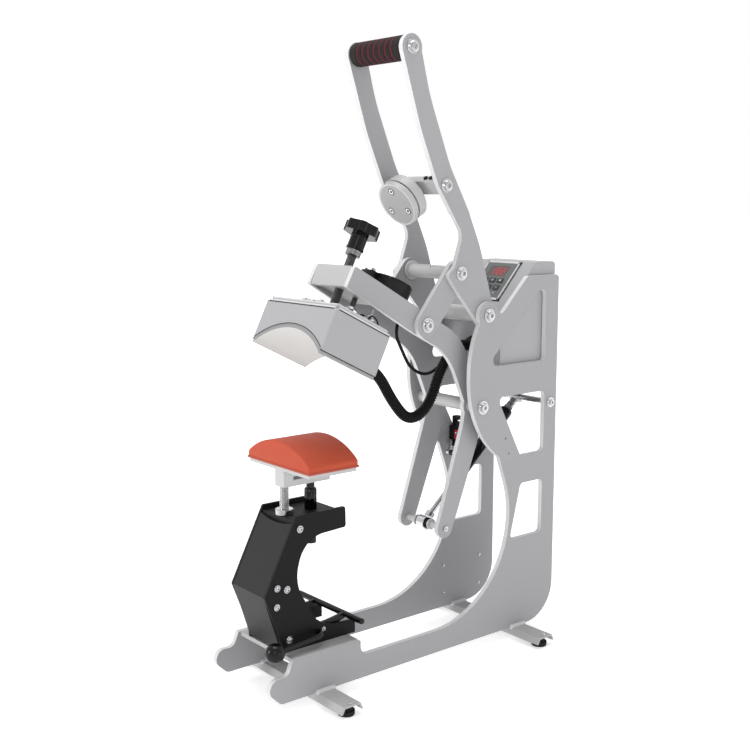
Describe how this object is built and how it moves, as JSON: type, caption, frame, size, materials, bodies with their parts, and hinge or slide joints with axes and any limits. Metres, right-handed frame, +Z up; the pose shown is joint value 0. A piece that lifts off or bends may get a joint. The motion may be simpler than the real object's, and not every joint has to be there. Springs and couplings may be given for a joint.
{
  "type": "cap heat press",
  "caption": "Clamshell cap heat press with a curved heated platen over a silicone pad, twin side plates, link handle and magnet latch.",
  "frame": {"origin": "centre of the footprint on the floor plane under the rubber feet", "axes": "+Z up, -Y towards the operator's side where the pad is, +X to the operator's right"},
  "size_m": [0.27, 0.563, 0.926],
  "materials": {
    "frame_grey": "satin",
    "beam_light": "satin",
    "stand_black": "satin",
    "shaft_steel": "fine machined",
    "bolt_chrome": "polished",
    "black_steel": "satin",
    "gloss_black": "gloss",
    "matte_black": "matte",
    "switch_red": "semi gloss",
    "lever_steel": "plain",
    "foot_rubber": "matte",
    "foam_black": "matte foam with dark red rings",
    "pad_red": "matte",
    "platen_light": "satin coating",
    "board_light": "matte board"
  },
  "bodies": {
    "base": {"right_frame_plate": "frame_grey", "left_frame_plate": "frame_grey", "frame_deck_plate": "frame_grey", "front_foot_bar": "frame_grey", "rear_foot_bar": "frame_grey", "rubber_feet": "foot_rubber", "main_pivot_shaft": "shaft_steel", "handle_pivot_shaft": "shaft_steel", "gas_spring_rear_pin": "shaft_steel", "frame_pivot_bolts": "bolt_chrome", "control_box_shell": "frame_grey", "control_panel": "matte_black", "power_inlet": "matte_black", "box_glands": "matte_black", "corrugated_hose": "matte_black", "magnet_cable": "matte_black", "limit_switch_body": "switch_red", "stand_right_side": "stand_black", "stand_left_side": "stand_black", "stand_front_panel": "stand_black", "stand_deck_plate": "frame_grey", "stand_screws": "bolt_chrome", "front_post": "shaft_steel", "rear_post": "black_steel", "pad_carrier_block": "platen_light", "pad_base_plate": "platen_light", "silicone_pad": "pad_red"},
    "head_arm": {"right_arm_plate": "frame_grey", "left_arm_plate": "frame_grey", "beam_top_plate": "beam_light", "beam_guide_plate": "beam_light", "gas_spring_lower_pin": "shaft_steel", "electromagnet": "black_steel"},
    "heated_head": {"heater_cover": "beam_light", "heater_platen": "platen_light", "insulation_block": "board_light", "head_top_plate": "board_light", "screw_thrust_cup": "black_steel", "head_screws": "bolt_chrome", "guide_post": "bolt_chrome"},
    "pressure_adjuster": {"pressure_screw": "bolt_chrome", "pressure_knob": "gloss_black"},
    "handle": {"right_handle_plate": "frame_grey", "left_handle_plate": "frame_grey", "grip_rod": "shaft_steel", "foam_grip": "foam_black", "armature_bar": "frame_grey", "armature_disc": "shaft_steel", "link_shaft": "shaft_steel", "handle_bolts": "bolt_chrome"},
    "links": {"right_link": "frame_grey", "left_link": "frame_grey", "link_pins": "bolt_chrome"},
    "gas_cylinder": {"gas_spring_cylinder": "black_steel"},
    "gas_rod": {"gas_spring_rod": "bolt_chrome"},
    "hold_down": {"hold_down_lever": "black_steel", "lever_ball_knob": "gloss_black", "hold_down_bar": "stand_black"},
    "limit_lever": {"limit_switch_lever": "lever_steel"},
    "rocker": {"power_switch_rocker": "matte_black"}
  },
  "joints": [
    {"name": "head_swing", "type": "hinge", "parent": "base", "child": "head_arm", "pos_m": [0, 0.113, 0.386], "axis": [1, 0, 0], "range_deg": [0, 26.5], "stiffness_Nm_per_rad": 60, "springref_deg": -51.57, "deforming": ["corrugated_hose", "magnet_cable"]},
    {"name": "handle_swing", "type": "hinge", "parent": "base", "child": "handle", "pos_m": [0, 0.124, 0.526], "axis": [1, 0, 0], "range_deg": [0, 59.6]},
    {"name": "link_swing", "type": "hinge", "parent": "handle", "child": "links", "pos_m": [0, 0.073, 0.591], "axis": [1, 0, 0], "range_deg": [-75, 0]},
    {"name": "gas_cylinder_swing", "type": "hinge", "parent": "base", "child": "gas_cylinder", "pos_m": [0, 0.2647, 0.3775], "axis": [1, 0, 0], "range_deg": [0, 16.6]},
    {"name": "gas_rod_slide", "type": "slide", "parent": "gas_cylinder", "child": "gas_rod", "axis": [0, 0.753, 0.658], "range_m": [0, 0.0557]},
    {"name": "head_height_slide", "type": "slide", "parent": "head_arm", "child": "heated_head", "axis": [0, -0.4462, -0.8949], "range_m": [0, 0.005]},
    {"name": "knob_spin", "type": "hinge", "parent": "heated_head", "child": "pressure_adjuster", "pos_m": [0, -0.07154, 0.63891], "axis": [0, 0.4462, 0.8949], "range_deg": [-1030, 0]},
    {"name": "hold_down_swing", "type": "hinge", "parent": "base", "child": "hold_down", "pos_m": [0, -0.178, 0.092], "axis": [1, 0, 0], "range_deg": [-4, 7.5]},
    {"name": "limit_lever_swing", "type": "hinge", "parent": "base", "child": "limit_lever", "pos_m": [-0.057, 0.1705, 0.306], "axis": [1, 0, 0], "range_deg": [0, 6], "stiffness_Nm_per_rad": 0.02, "springref_deg": -5.73},
    {"name": "rocker_tilt", "type": "hinge", "parent": "base", "child": "rocker", "pos_m": [0, 0.276, 0.52], "axis": [1, 0, 0], "range_deg": [-16, 0]}
  ],
  "couplings": [
    {"joint": "handle_swing", "follows": "head_swing", "ratio": 2.2453},
    {"joint": "link_swing", "follows": "head_swing", "ratio": -2.8239},
    {"joint": "gas_cylinder_swing", "follows": "head_swing", "ratio": 0.62279},
    {"joint": "gas_rod_slide", "follows": "head_swing", "m_per_rad": 0.1201},
    {"joint": "knob_spin", "follows": "head_height_slide", "rad_per_m": -3590.4}
  ]
}
